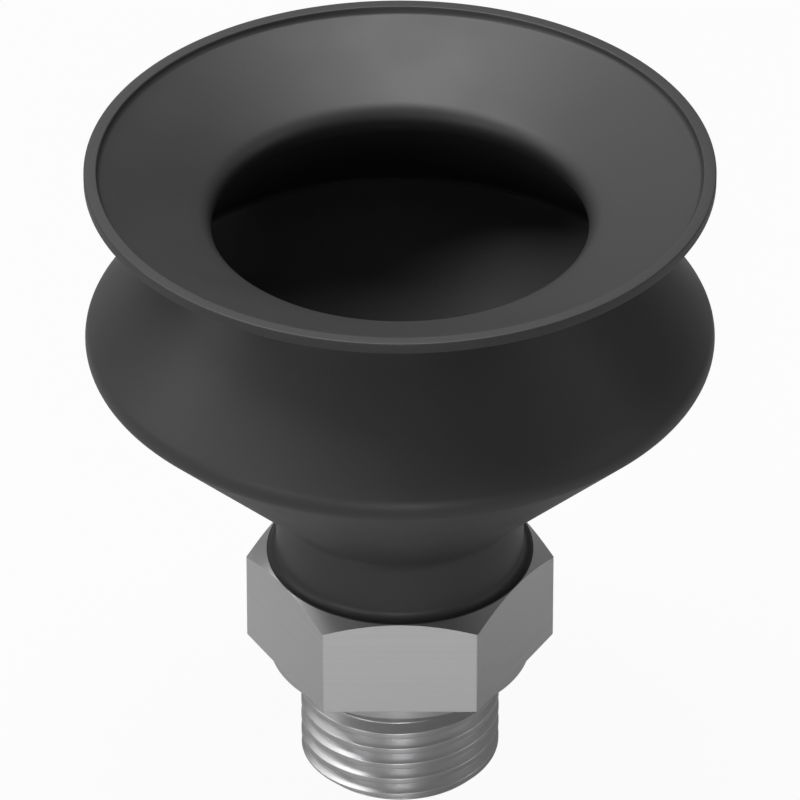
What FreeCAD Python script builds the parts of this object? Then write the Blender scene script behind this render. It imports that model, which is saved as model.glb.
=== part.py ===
import FreeCAD, Part
import math
import os

import Sketcher

# Driving dimensions, in millimetres and degrees. Heights count from the sealing face under the collar.
DIMENSIONS = [
    ("thread_diameter", 9.728, "major diameter of the G 1/8 male thread"),
    ("thread_length", 6.4, "sealing face to the end of the thread"),
    ("thread_chamfer", 0.55, "lead-in chamfer at the end of the thread"),
    ("relief_diameter", 8.2, "thread relief, below the thread's root"),
    ("relief_width", 2.05, "thread relief, along the axis"),
    ("collar_diameter", 12.8, "sealing collar"),
    ("collar_height", 0.5, "sealing collar"),
    ("hex_across_flats", 13.0, "spanner size"),
    ("hex_height", 5.2, "hexagon, without the collar"),
    ("hex_chamfer_angle", 30.0, "slope of the hexagon's chamfer"),
    ("stem_diameter", 6.8, "stem inside the neck of the cup"),
    ("stem_length", 1.7, "hexagon to the undercut of the bead"),
    ("bead_diameter", 8.6, "retaining bead"),
    ("bead_undercut", 0.6, "height of the cone under the bead"),
    ("bead_land", 0.5, "height of the bead's widest band"),
    ("tip_slope", 58.0, "slope of the taper above the bead"),
    ("tip_height", 1.6, "height of the taper above the bead"),
    ("bore_diameter", 4.0, "vacuum passage"),
    ("bore_chamfer", 0.4, "countersink at both ends of the passage"),
    ("flange_diameter", 13.0, "base flange of the cup, on the hexagon"),
    ("flange_height", 0.18, "edge of the base flange"),
    ("neck_diameter", 12.04, "outside of the neck"),
    ("lower_slope", 45.0, "slope of the lower cone"),
    ("fold_diameter", 30.2, "outer fold, over its rounding"),
    ("fold_height", 18.35, "outer fold, middle of its rounding"),
    ("fold_round", 0.9, "outside rounding of the fold"),
    ("upper_slope", 51.6, "slope of the wall above the fold"),
    ("waist_diameter", 21.5, "flat bottom of the notch under the lip"),
    ("lower_wall", 1.3, "wall of the lower cone"),
    ("upper_wall", 1.37, "wall above the fold"),
    ("throat_diameter", 18.04, "narrowest opening, below the funnel"),
    ("throat_round", 1.0, "rounding from the funnel into the throat"),
    ("funnel_slope", 23.5, "slope of the funnel inside the lip"),
    ("lip_back_slope", 30.8, "slope of the lip's back"),
    ("rim_diameter", 30.0, "sealing rim"),
    ("rim_height", 27.75, "sealing rim"),
    ("rim_edge", 0.52, "outer edge of the rim"),
    ("rim_land", 0.6, "flat sealing band on the rim"),
    ("rim_step", 0.31, "step from the band down to the funnel"),
    ("rim_step_draft", 0.07, "draft of that step"),
]

# Numbers of an edge's points, and of the origin, in a sketch
START, END, CENTRE = 1, 2, 3
ORIGIN = (-1, 1)


def make_sheet(doc):
    sheet = doc.addObject("Spreadsheet::Sheet", "dims")
    for row, (alias, value, note) in enumerate(DIMENSIONS, start=1):
        sheet.set(f"A{row}", alias)
        sheet.set(f"B{row}", str(value))
        sheet.set(f"C{row}", note)
        sheet.setAlias(f"B{row}", alias)
    doc.recompute()
    return sheet


def make_sketch(body, name, plane_role):
    sketch = body.newObject("Sketcher::SketchObject", name)
    plane = next(item for item in body.Origin.OriginFeatures if item.Role == plane_role)
    sketch.AttachmentSupport = [(plane, "")]
    sketch.MapMode = "FlatFace"
    return sketch


def set_size(sketch, label, expression, kind, *points):
    """Add a constraint whose value follows the sheet."""
    value = sketch.evalExpression(expression)
    number = math.radians(value.Value) if kind == "Angle" else float(value)
    index = sketch.addConstraint(Sketcher.Constraint(kind, *points, number))
    sketch.renameConstraint(index, label)
    sketch.setExpression(f"Constraints.{label}", expression)


def constrain(sketch, kind, *edges):
    for edge in edges:
        sketch.addConstraint(Sketcher.Constraint(kind, edge))


def add_rounding(sketch, before, corner, after, radius):
    """Draw the arc that rounds a corner. Returns its index and the points where it starts and ends."""
    towards_before = (before - corner).normalize()
    towards_after = (after - corner).normalize()
    half_angle = towards_before.getAngle(towards_after) / 2
    inward = (towards_before + towards_after).normalize()
    first = corner + towards_before * (radius / math.tan(half_angle))
    last = corner + towards_after * (radius / math.tan(half_angle))
    middle = corner + inward * (radius / math.sin(half_angle) - radius)
    return sketch.addGeometry(Part.Arc(first, middle, last), False), first, last


def draw_outline(sketch, dims, corners):
    """Draw a closed outline from rough corners, as (edge that starts there, x, y, alias of its rounding).

    Edges meet at their ends, and roundings are tangent to both neighbours. Returns the edges by name
    and the roundings by alias.
    """
    places = [FreeCAD.Vector(x, y, 0) for _, x, y, _ in corners]
    leaves, arrives, arcs = list(places), list(places), {}
    for i, (_, _, _, rounding) in enumerate(corners):
        if rounding:
            following = places[(i + 1) % len(places)]
            arc, arrives[i], leaves[i] = add_rounding(
                sketch, places[i - 1], places[i], following, dims[rounding]
            )
            arcs[rounding] = arc
    edges = {}
    for i, (name, _, _, _) in enumerate(corners):
        segment = Part.LineSegment(leaves[i], arrives[(i + 1) % len(places)])
        edges[name] = sketch.addGeometry(segment, False)
    names = [corner[0] for corner in corners]
    for i, (name, _, _, rounding) in enumerate(corners):
        previous, current = edges[names[i - 1]], edges[name]
        if rounding is None:
            sketch.addConstraint(Sketcher.Constraint("Coincident", previous, END, current, START))
            continue
        arc = arcs[rounding]
        starts_first = sketch.getPoint(arc, START).isEqual(arrives[i], 1e-6)
        near, far = (START, END) if starts_first else (END, START)
        sketch.addConstraint(Sketcher.Constraint("Tangent", previous, END, arc, near))
        sketch.addConstraint(Sketcher.Constraint("Tangent", arc, far, current, START))
        set_size(sketch, rounding, f"dims.{rounding}", "Radius", arc)
    return edges, arcs


def revolve(body, name, sketch, kind="PartDesign::Revolution"):
    feature = body.newObject(kind, name)
    feature.Profile = sketch
    feature.ReferenceAxis = (sketch, ["V_Axis"])
    feature.Angle = 360
    sketch.Visibility = False
    return feature


def make_cup(doc, dims):
    """The moulded rubber cup: one closed half-section, revolved about the axis."""
    body = doc.addObject("PartDesign::Body", "bellows_cup")
    sketch = make_sketch(body, "cup_section", "XZ_Plane")

    seat = dims["collar_height"] + dims["hex_height"]
    flange, neck = dims["flange_diameter"] / 2, dims["neck_diameter"] / 2
    fold, throat, rim = dims["fold_diameter"] / 2, dims["throat_diameter"] / 2, dims["rim_diameter"] / 2
    stem, bead = dims["stem_diameter"] / 2, dims["bead_diameter"] / 2
    flange_top = seat + dims["flange_height"]
    fold_height, top, wall = dims["fold_height"], dims["rim_height"], dims["lower_wall"]
    neck_top = fold_height - (fold - neck) * math.tan(math.radians(dims["lower_slope"]))
    waist = dims["waist_diameter"] / 2
    waist_foot = fold_height + (fold - waist) * math.tan(math.radians(dims["upper_slope"]))
    lip_drop = (rim - waist) * math.tan(math.radians(dims["lip_back_slope"]))
    funnel_drop = (rim - throat) * math.tan(math.radians(dims["funnel_slope"]))
    throat_height = top - dims["rim_step"] - funnel_drop
    undercut = seat + dims["stem_length"]
    land = undercut + dims["bead_undercut"]
    land_top = land + dims["bead_land"]
    edges, arcs = draw_outline(
        sketch,
        dims,
        [
            ("base", stem, seat, None),
            ("flange_edge", flange, seat, None),
            ("flange_top", flange, flange_top, None),
            ("neck", neck, flange_top, None),
            ("lower_cone", neck, neck_top, None),
            ("upper_cone", fold, fold_height, "fold_round"),
            ("waist", waist, waist_foot, None),
            ("lip_back", waist, top - dims["rim_edge"] - lip_drop, None),
            ("rim_edge", rim, top - dims["rim_edge"], None),
            ("rim_land", rim, top, None),
            ("rim_step", rim - dims["rim_land"], top, None),
            ("funnel", rim - dims["rim_land"] - dims["rim_step_draft"], top - dims["rim_step"], None),
            ("throat", throat, throat_height, "throat_round"),
            ("inner_upper", throat, throat_height - dims["throat_round"], None),
            ("inner_lower", fold - wall, fold_height, None),
            ("on_taper", bead - wall / 2, land_top + wall / 2, None),
            ("on_land", bead, land_top, None),
            ("on_undercut", bead, land, None),
            ("on_stem", stem, undercut, None),
        ],
    )
    constrain(sketch, "Horizontal", edges["base"], edges["flange_top"], edges["rim_land"])
    constrain(
        sketch, "Vertical",
        edges["flange_edge"], edges["neck"], edges["waist"], edges["rim_edge"], edges["throat"],
        edges["on_land"], edges["on_stem"],
    )
    # Base, neck and the seats on stem and bead
    base_height = "dims.collar_height + dims.hex_height"
    bead_start = f"{base_height} + dims.stem_length"
    set_size(sketch, "seat_height", base_height, "DistanceY", *ORIGIN, edges["base"], START)
    set_size(sketch, "stem_radius", "dims.stem_diameter / 2", "DistanceX", *ORIGIN, edges["base"], START)
    set_size(sketch, "flange_radius", "dims.flange_diameter / 2", "DistanceX", *ORIGIN, edges["base"], END)
    set_size(sketch, "flange_height", "dims.flange_height", "Distance", edges["flange_edge"])
    set_size(sketch, "neck_radius", "dims.neck_diameter / 2", "DistanceX", *ORIGIN, edges["neck"], END)
    set_size(sketch, "bead_radius", "dims.bead_diameter / 2", "DistanceX", *ORIGIN, edges["on_land"], END)
    set_size(sketch, "undercut_height", bead_start, "DistanceY", *ORIGIN, edges["on_stem"], START)
    set_size(
        sketch, "bead_undercut", "dims.bead_undercut", "DistanceY",
        edges["on_undercut"], END, edges["on_undercut"], START,
    )
    set_size(sketch, "bead_land", "dims.bead_land", "Distance", edges["on_land"])
    set_size(sketch, "tip_slope", "-dims.tip_slope * 1 deg", "Angle", edges["on_taper"])
    # Bellows walls, parallel inside and outside
    set_size(sketch, "lower_slope", "dims.lower_slope * 1 deg", "Angle", edges["lower_cone"])
    set_size(sketch, "upper_slope", "180 deg - dims.upper_slope * 1 deg", "Angle", edges["upper_cone"])
    fold_centre = "dims.fold_diameter / 2 - dims.fold_round"
    set_size(sketch, "fold_centre", fold_centre, "DistanceX", *ORIGIN, arcs["fold_round"], CENTRE)
    set_size(sketch, "fold_height", "dims.fold_height", "DistanceY", *ORIGIN, arcs["fold_round"], CENTRE)
    sketch.addConstraint(Sketcher.Constraint("Parallel", edges["inner_upper"], edges["upper_cone"]))
    sketch.addConstraint(Sketcher.Constraint("Parallel", edges["inner_lower"], edges["lower_cone"]))
    for name in ("lower", "upper"):
        inside, outside = edges[f"inner_{name}"], edges[f"{name}_cone"]
        set_size(sketch, f"{name}_wall", f"dims.{name}_wall", "Distance", inside, END, outside)
    waist_radius, throat_radius = "dims.waist_diameter / 2", "dims.throat_diameter / 2"
    set_size(sketch, "waist_radius", waist_radius, "DistanceX", *ORIGIN, edges["waist"], START)
    set_size(sketch, "throat_radius", throat_radius, "DistanceX", *ORIGIN, edges["throat"], END)
    # Lip and rim
    set_size(sketch, "lip_back_slope", "dims.lip_back_slope * 1 deg", "Angle", edges["lip_back"])
    set_size(sketch, "funnel_slope", "180 deg + dims.funnel_slope * 1 deg", "Angle", edges["funnel"])
    set_size(sketch, "rim_radius", "dims.rim_diameter / 2", "DistanceX", *ORIGIN, edges["rim_edge"], END)
    set_size(sketch, "rim_height", "dims.rim_height", "DistanceY", *ORIGIN, edges["rim_edge"], END)
    set_size(sketch, "rim_edge", "dims.rim_edge", "Distance", edges["rim_edge"])
    set_size(sketch, "rim_land", "dims.rim_land", "Distance", edges["rim_land"])
    set_size(
        sketch, "rim_step", "dims.rim_step", "DistanceY",
        edges["rim_step"], END, edges["rim_step"], START,
    )
    set_size(
        sketch, "rim_step_draft", "dims.rim_step_draft", "DistanceX",
        edges["rim_step"], END, edges["rim_step"], START,
    )
    revolve(body, "cup", sketch)
    return body


def draw_turned_section(sketch, dims):
    """Half-section of the fitting, from the thread's end to the tip of the stem, without the hexagon."""
    thread, relief, collar = (dims[f"{name}_diameter"] / 2 for name in ("thread", "relief", "collar"))
    stem, bead = dims["stem_diameter"] / 2, dims["bead_diameter"] / 2
    end, shoulder = -dims["thread_length"], -dims["relief_width"]
    seat = dims["collar_height"] + dims["hex_height"]
    undercut = seat + dims["stem_length"]
    land = undercut + dims["bead_undercut"]
    land_top = land + dims["bead_land"]
    tip = land_top + dims["tip_height"]
    tip_radius = bead - dims["tip_height"] / math.tan(math.radians(dims["tip_slope"]))
    edges, _ = draw_outline(
        sketch,
        dims,
        [
            ("thread_end", 0, end, None),
            ("thread_chamfer", thread - dims["thread_chamfer"], end, None),
            ("thread", thread, end + dims["thread_chamfer"], None),
            ("relief_shoulder", thread, shoulder, None),
            ("relief", relief, shoulder, None),
            ("sealing_face", relief, 0, None),
            ("collar", collar, 0, None),
            ("cup_seat", collar, seat, None),
            ("stem", stem, seat, None),
            ("undercut", stem, undercut, None),
            ("land", bead, land, None),
            ("taper", bead, land_top, None),
            ("tip", tip_radius, tip, None),
            ("axis", 0, tip, None),
        ],
    )
    constrain(
        sketch, "Horizontal",
        edges["thread_end"], edges["relief_shoulder"], edges["sealing_face"], edges["cup_seat"], edges["tip"],
    )
    constrain(
        sketch, "Vertical",
        edges["thread"], edges["relief"], edges["collar"], edges["stem"], edges["land"], edges["axis"],
    )
    sketch.addConstraint(Sketcher.Constraint("PointOnObject", edges["axis"], START, -2))
    # Radii
    for name, edge in (("thread", "thread"), ("relief", "relief"), ("collar", "collar"),
                       ("stem", "stem"), ("bead", "land")):
        radius = f"dims.{name}_diameter / 2"
        set_size(sketch, f"{name}_radius", radius, "DistanceX", *ORIGIN, edges[edge], START)
    # Heights
    seat_height = "dims.collar_height + dims.hex_height"
    set_size(
        sketch, "thread_length", "dims.thread_length", "DistanceY", edges["thread_end"], START, *ORIGIN
    )
    set_size(
        sketch, "relief_width", "dims.relief_width", "DistanceY", edges["relief_shoulder"], END, *ORIGIN
    )
    sketch.addConstraint(Sketcher.Constraint("PointOnObject", edges["sealing_face"], END, -1))
    set_size(sketch, "seat_height", seat_height, "DistanceY", *ORIGIN, edges["cup_seat"], END)
    set_size(sketch, "stem_length", "dims.stem_length", "Distance", edges["stem"])
    set_size(sketch, "bead_land", "dims.bead_land", "Distance", edges["land"])
    # Chamfers and cones
    chamfer = edges["thread_chamfer"]
    for kind in ("DistanceX", "DistanceY"):
        set_size(sketch, f"chamfer_{kind}", "dims.thread_chamfer", kind, chamfer, START, chamfer, END)
    for name, size in (("undercut", "bead_undercut"), ("taper", "tip_height")):
        set_size(sketch, size, f"dims.{size}", "DistanceY", edges[name], START, edges[name], END)
    set_size(sketch, "tip_slope", "180 deg - dims.tip_slope * 1 deg", "Angle", edges["taper"])


def draw_hexagon(sketch, dims):
    """A hexagon about the axis, with a flat towards the front."""
    corner_radius = dims["hex_across_flats"] / 2 / math.cos(math.radians(30))
    turns = [math.radians(60 * i) for i in range(6)]
    corners = [FreeCAD.Vector(math.cos(a), math.sin(a), 0) * corner_radius for a in turns]
    sides = [
        sketch.addGeometry(Part.LineSegment(corners[i], corners[(i + 1) % 6]), False) for i in range(6)
    ]
    circle = Part.Circle(FreeCAD.Vector(0, 0, 0), FreeCAD.Vector(0, 0, 1), corner_radius)
    circle_index = sketch.addGeometry(circle, True)
    sketch.addConstraint(Sketcher.Constraint("Coincident", circle_index, CENTRE, *ORIGIN))
    for i, side in enumerate(sides):
        sketch.addConstraint(Sketcher.Constraint("Coincident", sides[i - 1], END, side, START))
        sketch.addConstraint(Sketcher.Constraint("PointOnObject", side, START, circle_index))
    for side in sides[1:]:
        sketch.addConstraint(Sketcher.Constraint("Equal", sides[0], side))
    sketch.addConstraint(Sketcher.Constraint("Horizontal", sides[1]))
    set_size(
        sketch, "across_flats", "dims.hex_across_flats", "DistanceY", sides[4], START, sides[1], END
    )


def draw_corner_cut(sketch, dims):
    """The triangle that, turned about the axis, chamfers the hexagon's upper corners."""
    flat = dims["hex_across_flats"] / 2
    top = dims["collar_height"] + dims["hex_height"]
    reach = flat / 2
    drop = reach * math.tan(math.radians(dims["hex_chamfer_angle"]))
    edges, _ = draw_outline(
        sketch,
        dims,
        [
            ("top", flat, top, None),
            ("outside", flat + reach, top, None),
            ("slope", flat + reach, top - drop, None),
        ],
    )
    constrain(sketch, "Horizontal", edges["top"])
    constrain(sketch, "Vertical", edges["outside"])
    height = "dims.collar_height + dims.hex_height"
    slope = "180 deg - dims.hex_chamfer_angle * 1 deg"
    set_size(sketch, "chamfer_radius", "dims.hex_across_flats / 2", "DistanceX", *ORIGIN, edges["top"], START)
    set_size(sketch, "chamfer_height", height, "DistanceY", *ORIGIN, edges["top"], START)
    set_size(sketch, "chamfer_reach", "dims.hex_across_flats / 4", "Distance", edges["top"])
    set_size(sketch, "chamfer_slope", slope, "Angle", edges["slope"])


def ring_edges(shape, radius, heights):
    """Names of the circular edges of this radius about the axis at these heights."""
    names = []
    for i, edge in enumerate(shape.Edges, start=1):
        curve = edge.Curve
        if not isinstance(curve, Part.Circle) or abs(curve.Radius - radius) > 1e-4:
            continue
        if any(abs(curve.Center.z - height) < 1e-4 for height in heights):
            names.append(f"Edge{i}")
    return names


def make_fitting(doc, dims):
    """The turned fitting: revolved ends, a chamfered hexagon and the vacuum bore."""
    body = doc.addObject("PartDesign::Body", "threaded_fitting")
    section = make_sketch(body, "turned_section", "XZ_Plane")
    draw_turned_section(section, dims)
    revolve(body, "turned_ends", section)

    outline = make_sketch(body, "hexagon_outline", "XY_Plane")
    outline.setExpression("AttachmentOffset.Base.z", "dims.collar_height")
    draw_hexagon(outline, dims)
    hexagon = body.newObject("PartDesign::Pad", "hexagon")
    hexagon.Profile = outline
    hexagon.setExpression("Length", "dims.hex_height")

    corner_cut = make_sketch(body, "corner_cut", "XZ_Plane")
    draw_corner_cut(corner_cut, dims)
    revolve(body, "hexagon_chamfer", corner_cut, "PartDesign::Groove")

    # The bore starts at the tip of the stem and goes down through the thread's end
    tip = (
        "dims.collar_height + dims.hex_height + dims.stem_length"
        " + dims.bead_undercut + dims.bead_land + dims.tip_height"
    )
    bore_circle = make_sketch(body, "bore_circle", "XY_Plane")
    bore_circle.setExpression("AttachmentOffset.Base.z", tip)
    bore_radius = dims["bore_diameter"] / 2
    circle = Part.Circle(FreeCAD.Vector(0, 0, 0), FreeCAD.Vector(0, 0, 1), bore_radius)
    index = bore_circle.addGeometry(circle, False)
    bore_circle.addConstraint(Sketcher.Constraint("Coincident", index, CENTRE, *ORIGIN))
    set_size(bore_circle, "bore_radius", "dims.bore_diameter / 2", "Radius", index)
    bore = body.newObject("PartDesign::Pocket", "vacuum_bore")
    bore.Profile = bore_circle
    bore.Type = "ThroughAll"
    doc.recompute()

    tip_height = bore_circle.evalExpression(tip)
    mouths = ring_edges(bore.Shape, bore_radius, (float(tip_height), -dims["thread_length"]))
    countersink = body.newObject("PartDesign::Chamfer", "bore_countersink")
    countersink.Base = (bore, mouths)
    countersink.setExpression("Size", "dims.bore_chamfer")
    body.Tip = countersink
    return body


def check_model(doc, bodies):
    for item in doc.Objects:
        if {"Invalid", "Error"} & set(item.State):
            raise RuntimeError(f"{item.Name} failed: {item.State}")
        if item.TypeId == "Sketcher::SketchObject" and not item.FullyConstrained:
            raise RuntimeError(f"{item.Name} is not fully constrained")
    for body in bodies:
        if body.Shape.isNull() or not body.Shape.isValid() or len(body.Shape.Solids) != 1:
            raise RuntimeError(f"{body.Label} is not one valid solid")


def main():
    doc = FreeCAD.newDocument("bellows_suction_cup")
    make_sheet(doc)
    dims = {alias: value for alias, value, _ in DIMENSIONS}
    bodies = [make_cup(doc, dims), make_fitting(doc, dims)]
    doc.recompute()
    check_model(doc, bodies)
    os.makedirs("parts", exist_ok=True)
    for body in bodies:
        body.Shape.exportStep(f"parts/{body.Label}.step")
        box = body.Shape.BoundBox
        print(f"{body.Label}: {body.Shape.Volume:.1f} mm3, z {box.ZMin:.3f} to {box.ZMax:.3f}")


main()
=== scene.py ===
import math

import bmesh
import bpy
from mathutils import Matrix, Vector
from mathutils.geometry import intersect_line_line


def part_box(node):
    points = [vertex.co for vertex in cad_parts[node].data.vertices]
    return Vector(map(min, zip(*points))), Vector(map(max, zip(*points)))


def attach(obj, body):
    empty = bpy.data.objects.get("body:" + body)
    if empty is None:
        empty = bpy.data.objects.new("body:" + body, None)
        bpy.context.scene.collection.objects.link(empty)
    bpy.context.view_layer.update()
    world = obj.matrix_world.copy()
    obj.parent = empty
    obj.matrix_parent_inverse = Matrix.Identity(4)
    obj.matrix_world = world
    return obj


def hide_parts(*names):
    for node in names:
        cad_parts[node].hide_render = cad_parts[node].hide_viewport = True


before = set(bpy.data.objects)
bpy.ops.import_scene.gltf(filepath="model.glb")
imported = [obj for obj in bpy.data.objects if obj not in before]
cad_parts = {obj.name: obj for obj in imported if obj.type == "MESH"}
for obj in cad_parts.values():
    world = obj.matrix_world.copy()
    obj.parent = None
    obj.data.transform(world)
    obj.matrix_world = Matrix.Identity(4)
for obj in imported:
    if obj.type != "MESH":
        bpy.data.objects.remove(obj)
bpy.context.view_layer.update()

mm = 0.001                      # pieces are modelled in millimetres and made metres when they are finished
tiny = 0.0001                   # mm, places that are nearer than this are the same
roundSteps = 192                # faces round the axis
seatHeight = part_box("bellows_cup")[0].z / mm          # top of the hexagon, where the cup sits
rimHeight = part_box("bellows_cup")[1].z / mm
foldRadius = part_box("bellows_cup")[1].x / mm
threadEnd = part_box("threaded_fitting")[0].z / mm      # the object stands on it
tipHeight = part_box("threaded_fitting")[1].z / mm

# camera

cameraView = {
    "targetHeight": 14.4,       # mm above the sealing face, at the middle of the picture
    "distance": 451.7,          # mm
    "elevation": 34.34,         # degrees
    "lens": 421.9, "sensor": 36,        # mm
}


def addCamera(view):
    data = bpy.data.cameras.new("photoCamera")
    data.sensor_width = view["sensor"]
    data.lens = view["lens"]
    camera = bpy.data.objects.new("photoCamera", data)
    bpy.context.collection.objects.link(camera)
    tilt = math.radians(view["elevation"])
    backwards = Vector((0, -math.cos(tilt), math.sin(tilt)))
    camera.location = Vector((0, 0, view["targetHeight"] * mm)) + backwards * view["distance"] * mm
    camera.rotation_euler = (math.pi / 2 - tilt, 0, 0)
    bpy.context.scene.camera = camera


addCamera(cameraView)
print("camera set")

# modelling steps that both pieces share


def crossing(point, slope, otherPoint, otherSlope):     # where two straight walls of a section meet
    ends = []
    for start, angle in ((point, slope), (otherPoint, otherSlope)):
        run = Vector((math.cos(math.radians(angle)), 0, math.sin(math.radians(angle))))
        ends += [Vector((start[0], 0, start[1])), Vector((start[0], 0, start[1])) + run]
    met = intersect_line_line(*ends)[0]
    return met.x, met.z


def drawSection(corners, segments=6):
    # a closed outline in the XZ plane from (radius, height, rounding) corners, with its corners rounded
    section = bmesh.new()
    verts = [section.verts.new((radius, 0, height)) for radius, height, _ in corners]
    section.faces.new(verts)
    for i, vert in enumerate(verts):
        before = Vector(corners[i - 1][:2]) - Vector(corners[i][:2])
        after = Vector(corners[(i + 1) % len(corners)][:2]) - Vector(corners[i][:2])
        reach = corners[i][2] / math.tan(before.angle(after) / 2)
        if reach > 0:
            bmesh.ops.bevel(
                section, geom=[vert], offset=reach, offset_type="ABSOLUTE", affect="VERTICES",
                segments=segments, profile=0.5, material=-1,
            )
    bmesh.ops.delete(section, geom=section.faces[:], context="FACES_ONLY")
    return section


def divideLongEdges(section, spacing):
    for edge in section.edges[:]:
        cuts = int(edge.calc_length() / spacing)
        if cuts:
            bmesh.ops.subdivide_edges(section, edges=[edge], cuts=cuts)


def removeAxis(section):        # the edge on the axis would spin into nothing
    onAxis = [e for e in section.edges if all(abs(v.co.x) < tiny for v in e.verts)]
    bmesh.ops.delete(section, geom=onAxis, context="EDGES")


def spinSection(section):       # one full turn about the axis
    bmesh.ops.spin(
        section, geom=section.verts[:] + section.edges[:], cent=(0, 0, 0), axis=(0, 0, 1),
        angle=2 * math.pi, steps=roundSteps, use_merge=True,
    )
    closeShell(section)


def closeShell(shell, gap=0.0005):
    bmesh.ops.remove_doubles(shell, verts=shell.verts[:], dist=gap)
    bmesh.ops.dissolve_degenerate(shell, edges=shell.edges[:], dist=gap)
    bmesh.ops.recalc_face_normals(shell, faces=shell.faces[:])


def makeObject(name, shell):
    mesh = bpy.data.meshes.new(name)
    shell.to_mesh(mesh)
    shell.free()
    piece = bpy.data.objects.new(name, mesh)
    bpy.context.collection.objects.link(piece)
    return piece


def makeSolid(name, corners):   # a turned solid without a hole, whose section starts and ends on the axis
    section = drawSection(corners)
    removeAxis(section)
    spinSection(section)
    return makeObject(name, section)


def combine(base, steps):       # steps are (operation, other shape), and the other shapes are used up
    for operation, other in steps:
        step = base.modifiers.new(other.name, "BOOLEAN")
        step.operation = operation
        step.solver = "EXACT"
        step.object = other
    graph = bpy.context.evaluated_depsgraph_get()
    result = bpy.data.meshes.new_from_object(base.evaluated_get(graph))
    base.modifiers.clear()
    base.data = result
    for _, other in steps:
        bpy.data.objects.remove(other)


def finishPiece(piece, node, materials, sharpAngle):
    shell = bmesh.new()
    shell.from_mesh(piece.data)
    bmesh.ops.scale(shell, vec=(mm, mm, mm), verts=shell.verts[:])
    shell.to_mesh(piece.data)
    shell.free()
    piece.data.shade_smooth()
    piece.data.set_sharp_from_angle(angle=math.radians(sharpAngle))
    normals = piece.modifiers.new("evenShading", "WEIGHTED_NORMAL")     # flat walls between roundings
    normals.keep_sharp = True
    piece.data.materials.clear()
    for material in materials:
        piece.data.materials.append(material)
    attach(piece, "root")
    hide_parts(node)
    print(piece.name, "has", len(piece.data.polygons), "faces")


# materials

ringLength = 25                 # mm, how far a tool mark keeps its shape round the axis
noiseLow, noiseHigh = 0.3, 0.7  # most values of a noise texture lie between these


def linearColour(hexColour):    # sRGB hex to the linear colour that shaders take
    channels = [int(hexColour[i:i + 2], 16) / 255 for i in (1, 3, 5)]
    return [c / 12.92 if c <= 0.04045 else ((c + 0.055) / 1.055) ** 2.4 for c in channels] + [1]


def addNode(tree, kind, inputs, **settings):
    node = tree.nodes.new("ShaderNode" + kind)
    for name, value in settings.items():
        setattr(node, name, value)
    for name, value in inputs.items():
        if isinstance(value, bpy.types.NodeSocket):
            tree.links.new(value, node.inputs[name])
        else:
            node.inputs[name].default_value = value
    return node


def newMaterial(name):
    material = bpy.data.materials.new(name)
    material.use_nodes = True
    tree = material.node_tree
    tree.nodes.clear()
    return material, tree


def addRings(tree, place, spacing, slant):
    # noise in rings about the axis, fine along the section and slow round it; slant counts the radius in
    # with the height, so that level faces have rings too
    axes = addNode(tree, "SeparateXYZ", {"Vector": place}).outputs
    flat = addNode(tree, "CombineXYZ", {"X": axes["X"], "Y": axes["Y"]})
    radius = addNode(tree, "VectorMath", {0: flat.outputs["Vector"]}, operation="LENGTH")
    along = addNode(tree, "Math", {
        0: radius.outputs["Value"], 1: slant, 2: axes["Z"],
    }, operation="MULTIPLY_ADD")
    section = addNode(tree, "CombineXYZ", {"X": axes["X"], "Y": axes["Y"], "Z": along.outputs["Value"]})
    slow, fine = 1 / (ringLength * mm), 1 / (spacing * mm)
    scaled = addNode(tree, "VectorMath", {
        0: section.outputs["Vector"], 1: (slow, slow, fine),
    }, operation="MULTIPLY")
    noise = addNode(tree, "TexNoise", {"Vector": scaled.outputs["Vector"], "Scale": 1.0, "Detail": 2.0})
    return noise.outputs["Fac"]


# Nitrile rubber, moulded: dark grey and satin. The mould leaves a fine matt grain and, where it was turned,
# faint rings; handling and bloom give the tone slow, soft changes.
rubber = {
    "colour": "#303031",
    "paleColour": "#343435",
    "ior": 1.52,
    "roughness": (0.46, 0.54),
    "cloud": 5.0,               # mm, width of the tone changes
    "grain": 0.16,              # mm, real grain is finer; this is the finest that shows
    "grainDepth": 0.004,        # mm
    "ring": 0.22,               # mm, feed of the tool that turned the mould
    "ringDepth": 0.0012,        # mm
    "ringSlant": 0.83,
}


def makeRubber(look):
    material, tree = newMaterial("mouldedNitrileRubber")
    place = addNode(tree, "TexCoord", {}).outputs["Object"]
    cloud = addNode(tree, "TexNoise", {"Vector": place, "Scale": 1 / (look["cloud"] * mm), "Detail": 3.0})
    grain = addNode(tree, "TexNoise", {"Vector": place, "Scale": 1 / (look["grain"] * mm), "Detail": 2.0})
    tone = addNode(tree, "Mix", {
        "Factor": cloud.outputs["Fac"],
        "A": linearColour(look["colour"]),
        "B": linearColour(look["paleColour"]),
    }, data_type="RGBA")
    smooth, matt = look["roughness"]
    gloss = addNode(tree, "MapRange", {
        "Value": cloud.outputs["Fac"], "From Min": noiseLow, "From Max": noiseHigh,
        "To Min": smooth, "To Max": matt,
    })
    pits = addNode(tree, "Bump", {"Height": grain.outputs["Fac"], "Distance": look["grainDepth"] * mm})
    rings = addNode(tree, "Bump", {
        "Height": addRings(tree, place, look["ring"], look["ringSlant"]),
        "Distance": look["ringDepth"] * mm,
        "Normal": pits.outputs["Normal"],
    })
    shader = addNode(tree, "BsdfPrincipled", {
        "Base Color": tone.outputs["Result"],
        "Roughness": gloss.outputs["Result"],
        "IOR": look["ior"],
        "Normal": rings.outputs["Normal"],
    })
    addNode(tree, "OutputMaterial", {"Surface": shader.outputs["BSDF"]})
    return material


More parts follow.
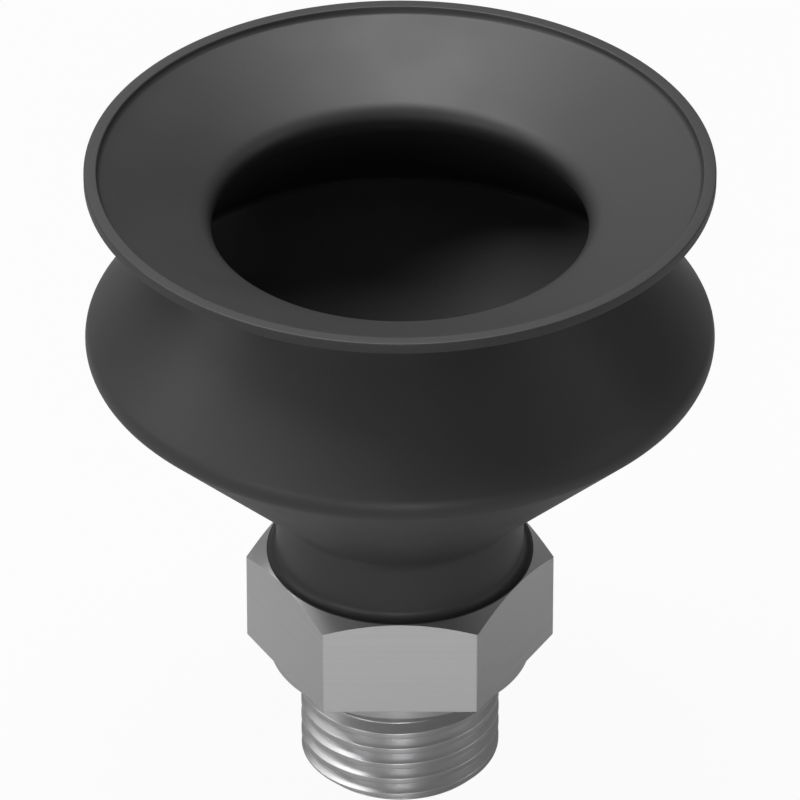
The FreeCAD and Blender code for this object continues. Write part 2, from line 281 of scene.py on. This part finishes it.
# Aluminium, turned and milled and left bare: grey and half bright. Rings from the lathe and lines from
# the cutter run round the upright sides, so highlights stretch up and down there. The thread's flanks and
# the chamfers are cut smoother, and their colour is painted paler than the rest as a painted highlight,
# while the faced ends are duller. Real marks are finer; these are the finest that show.
aluminium = {                   # spacing and depth of the marks in mm
    "side": {
        "colour": "#c8c8c9", "roughness": (0.42, 0.54), "stretch": 0.7,
        "spacing": 0.14, "depth": 0.0010, "slant": 0.0,
    },
    "slope": {
        # the paler colour here is a painted highlight: these faces are the same aluminium as the sides
        "colour": "#d8d8d9", "roughness": (0.32, 0.42), "stretch": 0.3,
        "spacing": 0.10, "depth": 0.0016, "slant": 0.83,
    },
    "end": {
        "colour": "#c8c8c9", "roughness": (0.58, 0.68), "stretch": 0.2,
        "spacing": 0.10, "depth": 0.0016, "slant": 0.83,
    },
}


def makeAluminium(name, look):
    material, tree = newMaterial("bareAluminium" + name.capitalize())
    place = addNode(tree, "TexCoord", {}).outputs["Object"]
    marks = addRings(tree, place, look["spacing"], look["slant"])
    bright, dull = look["roughness"]
    gloss = addNode(tree, "MapRange", {
        "Value": marks, "From Min": noiseLow, "From Max": noiseHigh, "To Min": bright, "To Max": dull,
    })
    bump = addNode(tree, "Bump", {"Height": marks, "Distance": look["depth"] * mm})
    ringWay = addNode(tree, "VectorMath", {0: (0, 0, 1), 1: place}, operation="CROSS_PRODUCT")
    shader = addNode(tree, "BsdfPrincipled", {
        "Base Color": linearColour(look["colour"]),
        "Metallic": 1.0,
        "Roughness": gloss.outputs["Result"],
        "Anisotropic": look["stretch"],
        "Anisotropic Rotation": 0.25,       # a quarter turn from the way that the marks run
        "Tangent": ringWay.outputs["Vector"],
        "Normal": bump.outputs["Normal"],
    })
    addNode(tree, "OutputMaterial", {"Surface": shader.outputs["BSDF"]})
    return material


rubberMaterial = makeRubber(rubber)
metalFinishes = list(aluminium)
metalMaterials = [makeAluminium(name, aluminium[name]) for name in metalFinishes]
print("materials made")

# bellows cup: one moulded piece, sizes in mm and degrees

cup = {
    "stemRadius": 3.4, "stemLength": 1.7,               # seats on the fitting
    "beadRadius": 4.3, "beadUndercut": 0.6, "beadLand": 0.5, "tipSlope": 58.0,
    "flangeRadius": 6.5, "flangeHeight": 0.06, "flangeEdge": 0.02, "flangeRound": 0.42,
    "neckRadius": 6.02, "neckRound": 1.2,
    "lowerSlope": 45.0, "upperSlope": 51.6, "lowerWall": 1.3, "upperWall": 1.37,
    "foldHeight": 18.35, "foldRound": 0.9, "creaseRound": 0.4,
    "waistRound": 0.25, "lipBackSlope": 30.8,
    "rimRadius": 15.0, "rimEdge": 0.52, "rimLand": 0.6,
    "rimStep": 0.31, "stepDraft": 0.07, "stepRound": 0.25,
    "funnelSlope": 23.5, "throatRound": 1.0,
    "edgeRound": 0.07,          # edges that the mould leaves almost sharp
    "ringSpacing": 0.7,         # longest face along the section
}


def cupCorners(size):
    def beside(point, slope, distance):                 # a point moved square to a wall, outwards
        turn = math.radians(slope - 90)
        return point[0] + distance * math.cos(turn), point[1] + distance * math.sin(turn)

    lower, upper = size["lowerSlope"], 180 - size["upperSlope"]
    foldCentre = (foldRadius - size["foldRound"], size["foldHeight"])
    lowerWall = beside(foldCentre, lower, size["foldRound"])
    upperWall = beside(foldCentre, upper, size["foldRound"])
    innerLower = beside(lowerWall, lower, -size["lowerWall"])
    innerUpper = beside(upperWall, upper, -size["upperWall"])
    neck, rim, edge = size["neckRadius"], size["rimRadius"], size["edgeRound"]
    flangeTop = seatHeight + size["flangeHeight"]
    rimFoot = (rim, rimHeight - size["rimEdge"])
    landInside = rim - size["rimLand"]
    funnelTop = (landInside - size["stepDraft"], rimHeight - size["rimStep"])
    undercut = seatHeight + size["stemLength"]
    land = undercut + size["beadUndercut"]
    landTop = land + size["beadLand"]
    bead = size["beadRadius"]
    return [
        (size["stemRadius"], seatHeight, 0),
        (size["flangeRadius"], seatHeight, size["flangeEdge"]),
        (size["flangeRadius"], flangeTop, size["flangeEdge"]),
        (neck, flangeTop, size["flangeRound"]),
        (*crossing((neck, 0), 90, lowerWall, lower), size["neckRound"]),
        (*crossing(lowerWall, lower, upperWall, upper), size["foldRound"]),
        (*crossing(upperWall, upper, rimFoot, size["lipBackSlope"]), size["waistRound"]),
        (*rimFoot, edge),
        (rim, rimHeight, edge),
        (landInside, rimHeight, edge),
        (*funnelTop, size["stepRound"]),
        (*crossing(funnelTop, size["funnelSlope"], innerUpper, upper), size["throatRound"]),
        (*crossing(innerUpper, upper, innerLower, lower), size["creaseRound"]),
        (*crossing(innerLower, lower, (bead, landTop), 180 - size["tipSlope"]), 0),
        (bead, landTop, 0),
        (bead, land, 0),
        (size["stemRadius"], undercut, 0),
    ]


def makeCup(size):
    section = drawSection(cupCorners(size), segments=10)
    divideLongEdges(section, size["ringSpacing"])
    spinSection(section)
    return makeObject("bellowsCup", section)


finishPiece(makeCup(cup), "bellows_cup", [rubberMaterial], sharpAngle=40)

# threaded fitting: one turned piece of hexagon bar, sizes in mm and degrees

fitting = {
    "hexFlat": 6.5, "hexFoot": 0.5, "hexChamfer": 30.0, "hexEdge": 0.06,
    "collarRadius": 6.4, "collarEdge": 0.08,
    "reliefRadius": 4.1, "reliefWidth": 2.05, "reliefRound": 0.2,
    "threadMajor": 4.864, "pitch": 0.907, "flankAngle": 27.5,   # pipe thread G 1/8
    "crestWidth": 0.30, "rootWidth": 0.07, "crestRound": 0.04,  # the crests are left wide, as turned
    "threadTop": -1.95, "threadChamfer": 0.55, "threadEdge": 0.06, "threadPhase": -1.88,
    "threadSteps": 96,          # faces in one turn of the helix
    "helixGap": 0.004,          # turns of the helix that come this near are one edge
    "turnsBelow": 2.5, "spareBelow": 0.3, "spareAbove": 0.8,    # the helix starts early and is cut off
    "blankOver": 0.2, "blankSink": 0.1,     # the thread's blank clears the crests and enters the relief
    "boreRadius": 2.0, "boreChamfer": 0.4, "boreRound": 0.1,
    "edgeRound": 0.05, "tipRound": 0.15,
    "runOn": 1.0,               # how far shapes run past or into each other before they are combined
    "sideRise": 0.05, "endRise": 0.95,      # of a face's normal: sides have less, ends have more
}


def makeTurnedEnds(size, seats):
    # collar, relief and stem with its bead; it runs on inside the hexagon and the thread
    inside = size["hexFoot"] + 2 * size["runOn"]
    thread = -size["reliefWidth"] - size["runOn"]
    undercut = seatHeight + seats["stemLength"]
    land = undercut + seats["beadUndercut"]
    landTop = land + seats["beadLand"]
    bead, stem = seats["beadRadius"], seats["stemRadius"]
    tip = bead - (tipHeight - landTop) / math.tan(math.radians(seats["tipSlope"]))
    edge = size["edgeRound"]
    return makeSolid("threadedFitting", [
        (0, thread, 0),
        (size["reliefRadius"], thread, 0),
        (size["reliefRadius"], 0, size["reliefRound"]),
        (size["collarRadius"], 0, size["collarEdge"]),
        (size["collarRadius"], inside, 0),
        (stem, inside, 0),
        (stem, undercut, edge),
        (bead, land, edge),
        (bead, landTop, edge),
        (tip, tipHeight, size["tipRound"]),
        (0, tipHeight, 0),
    ])


def makeHexagon(size):
    bar = bmesh.new()
    flat, foot, spare = size["hexFlat"], size["hexFoot"], size["runOn"]
    bmesh.ops.create_circle(bar, cap_ends=True, segments=6, radius=flat / math.cos(math.pi / 6))
    # a corner of the circle starts on +Y, and the bar has its corners on X
    quarter = Matrix.Rotation(math.radians(90), 3, "Z")
    bmesh.ops.rotate(bar, verts=bar.verts[:], cent=(0, 0, 0), matrix=quarter)
    bmesh.ops.translate(bar, verts=bar.verts[:], vec=(0, 0, foot))
    top = bmesh.ops.extrude_face_region(bar, geom=bar.faces[:], use_keep_orig=True)
    raised = [item for item in top["geom"] if isinstance(item, bmesh.types.BMVert)]
    bmesh.ops.translate(bar, verts=raised, vec=(0, 0, seatHeight - foot + spare))
    broken = [e for e in bar.edges if min(v.co.z for v in e.verts) < seatHeight]    # all but the top
    bmesh.ops.bevel(
        bar, geom=broken, offset=size["hexEdge"], offset_type="OFFSET", affect="EDGES",
        segments=3, profile=0.5, material=-1,
    )
    closeShell(bar)
    hexagon = makeObject("hexagon", bar)

    slope = math.tan(math.radians(size["hexChamfer"]))
    reach = flat / 2            # past the corners
    turned = makeSolid("hexagonChamfer", [
        (0, foot - spare, 0),
        (flat + reach, foot - spare, 0),
        (flat + reach, seatHeight - reach * slope, 0),
        (flat, seatHeight, 0),
        (0, seatHeight, 0),
    ])
    combine(hexagon, [("INTERSECT", turned)])
    return hexagon


def makeHelix(size):
    # one pitch of the thread's section, spun up a right-handed helix past both ends of the thread
    major, pitch = size["threadMajor"], size["pitch"]
    crest, root, rounding = size["crestWidth"] / 2, size["rootWidth"] / 2, size["crestRound"]
    minor = major - (pitch / 2 - crest - root) / math.tan(math.radians(size["flankAngle"]))
    core = minor - size["runOn"]
    section = drawSection([
        (core, 0, 0),
        (minor, 0, 0),
        (minor, root, rounding),
        (major, pitch / 2 - crest, rounding),
        (major, pitch / 2 + crest, rounding),
        (minor, pitch - root, rounding),
        (minor, pitch, 0),
        (core, pitch, 0),
    ], segments=3)
    inner = [v for v in section.verts if v.co.x < (core + minor) / 2]
    bmesh.ops.delete(section, geom=inner, context="VERTS")
    start = threadEnd - size["turnsBelow"] * pitch
    turns = math.ceil(-start / pitch) + 1
    steps = turns * size["threadSteps"]
    bmesh.ops.translate(section, verts=section.verts[:], vec=(0, 0, start + size["threadPhase"] % pitch))
    bmesh.ops.spin(
        section, geom=section.verts[:] + section.edges[:], cent=(0, 0, 0), axis=(0, 0, 1),
        dvec=(0, 0, pitch / size["threadSteps"]), angle=2 * math.pi * turns, steps=steps,
    )
    bmesh.ops.remove_doubles(section, verts=section.verts[:], dist=size["helixGap"])
    low, high = threadEnd - size["spareBelow"], size["threadTop"] + size["spareAbove"]
    for height, side in ((low, -1), (high, 1)):
        everything = section.verts[:] + section.edges[:] + section.faces[:]
        bmesh.ops.bisect_plane(
            section, geom=everything, plane_co=(0, 0, height), plane_no=(0, 0, side), clear_outer=True,
        )
        loose = [e for e in section.edges if e.is_boundary]
        rim = [e for e in loose if all(abs(v.co.z - height) < tiny for v in e.verts)]
        bmesh.ops.holes_fill(section, edges=rim, sides=0)
    closeShell(section, size["helixGap"])
    return makeObject("thread", section)


def makeThread(size):
    # the helix within its blank: lead-in chamfer at the end, and a slope like a flank into the relief
    major, top, lead = size["threadMajor"], size["threadTop"], size["threadChamfer"]
    over, relief = size["blankOver"], size["reliefRadius"] - size["blankSink"]
    slope = math.tan(math.radians(size["flankAngle"]))
    blank = makeSolid("threadBlank", [
        (0, threadEnd, 0),
        (major - lead, threadEnd, size["threadEdge"]),
        (major + over, threadEnd + lead + over, 0),
        (major + over, top - over * slope, 0),
        (relief, top + (major - relief) * slope, 0),
        (0, top + (major - relief) * slope, 0),
    ])
    thread = makeHelix(size)
    combine(thread, [("INTERSECT", blank)])
    return thread


def makeBore(size):
    radius, chamfer, rounding = size["boreRadius"], size["boreChamfer"], size["boreRound"]
    past = size["runOn"] / 2
    return makeSolid("bore", [
        (0, threadEnd - past, 0),
        (radius + chamfer + past, threadEnd - past, 0),
        (radius, threadEnd + chamfer, rounding),
        (radius, tipHeight - chamfer, rounding),
        (radius + chamfer + past, tipHeight + past, 0),
        (0, tipHeight + past, 0),
    ])


def makeFitting(size, seats):
    piece = makeTurnedEnds(size, seats)
    combine(piece, [
        ("UNION", makeHexagon(size)),
        ("UNION", makeThread(size)),
        ("DIFFERENCE", makeBore(size)),
    ])
    return piece


def pickFinishes(piece, size):
    for face in piece.data.polygons:
        rise = abs(face.normal.z)
        # sloped faces take the paler colour, a painted highlight on the thread's flanks and the chamfers
        finish = "side" if rise < size["sideRise"] else "end" if rise > size["endRise"] else "slope"
        face.material_index = metalFinishes.index(finish)


fittingPiece = makeFitting(fitting, cup)
finishPiece(fittingPiece, "threaded_fitting", metalMaterials, sharpAngle=30)
pickFinishes(fittingPiece, fitting)

# floor, lamps and the room's light

studio = {
    "white": "#ffffff",
    "floorColour": "#b0b0b0",
    "floorSize": 4.0,           # m
    "floorGap": 0.01,           # mm under the thread's end, so that the two faces never coincide
    "floorGlow": 0.95,          # how far the floor looks plain white, the rest shows the object's shadow
    "floorGlint": 0.14,         # the same in the metal's reflections
    "roomGlow": 1.0,            # how white the room is behind the object
    "roomGlint": 0.17,          # and in the metal's reflections
}

lamps = {                       # place and size in mm, power in watts
    "topLamp": {"place": (9, 59, 460), "size": 220, "power": 1.23},
    "leftHighLamp": {"place": (-201, 0, 417), "size": 240, "power": 0.86},
    "leftLamp": {"place": (-397, 21, 226), "size": 200, "power": 0.28},
    "frontLeftLamp": {"place": (-309, -309, 123), "size": 130, "power": 0.28},
    "frontLamp": {"place": (0, -448, 54), "size": 130, "power": 0.34},
    "rightLamp": {"place": (408, -87, 183), "size": 180, "power": 0.12},
    "backLeftLamp": {"place": (-268, 217, 304), "size": 160, "power": 0.09},
    "backLamp": {"place": (-80, 373, 253), "size": 220, "power": 0.15},
}


def addWhite(tree, seen, mirrored):
    # how white a ray finds the background: straight from the camera, or by way of a glossy or clear surface
    ray = addNode(tree, "LightPath", {}).outputs
    bounced = addNode(tree, "Math", {
        0: ray["Is Glossy Ray"], 1: ray["Is Transmission Ray"],
    }, operation="MAXIMUM")
    glint = addNode(tree, "Math", {0: bounced.outputs[0], 1: mirrored}, operation="MULTIPLY")
    return addNode(tree, "Math", {
        0: ray["Is Camera Ray"], 1: seen, 2: glint.outputs[0],
    }, operation="MULTIPLY_ADD").outputs[0]


def addFloor(look):
    material, tree = newMaterial("paleFloor")
    paint = addNode(tree, "BsdfDiffuse", {"Color": linearColour(look["floorColour"])})
    white = addNode(tree, "Emission", {"Color": linearColour(look["white"]), "Strength": 1.0})
    mixed = addNode(tree, "MixShader", {
        "Fac": addWhite(tree, look["floorGlow"], look["floorGlint"]),
        1: paint.outputs["BSDF"],
        2: white.outputs["Emission"],
    })
    addNode(tree, "OutputMaterial", {"Surface": mixed.outputs["Shader"]})
    sheet = bmesh.new()
    bmesh.ops.create_grid(sheet, x_segments=1, y_segments=1, size=look["floorSize"] / 2)
    bmesh.ops.translate(sheet, verts=sheet.verts[:], vec=(0, 0, (threadEnd - look["floorGap"]) * mm))
    floor = makeObject("floor", sheet)
    floor.data.materials.append(material)


def addLamp(name, lamp):
    data = bpy.data.lights.new(name, "AREA")
    data.shape = "DISK"
    data.size = lamp["size"] * mm
    data.energy = lamp["power"]
    light = bpy.data.objects.new(name, data)
    bpy.context.collection.objects.link(light)
    light.location = Vector(lamp["place"]) * mm
    middle = Vector((0, 0, cameraView["targetHeight"] * mm))
    light.rotation_euler = (middle - light.location).to_track_quat("-Z", "Y").to_euler()


def lightRoom(look):
    world = bpy.data.worlds.new("room")
    bpy.context.scene.world = world
    world.use_nodes = True
    tree = world.node_tree
    tree.nodes.clear()
    glow = addNode(tree, "Background", {
        "Color": linearColour(look["white"]),
        "Strength": addWhite(tree, look["roomGlow"], look["roomGlint"]),
    })
    addNode(tree, "OutputWorld", {"Surface": glow.outputs["Background"]})


addFloor(studio)
for lampName, lamp in lamps.items():
    addLamp(lampName, lamp)
lightRoom(studio)
bpy.context.scene.view_settings.view_transform = "Standard"
print("studio lit")
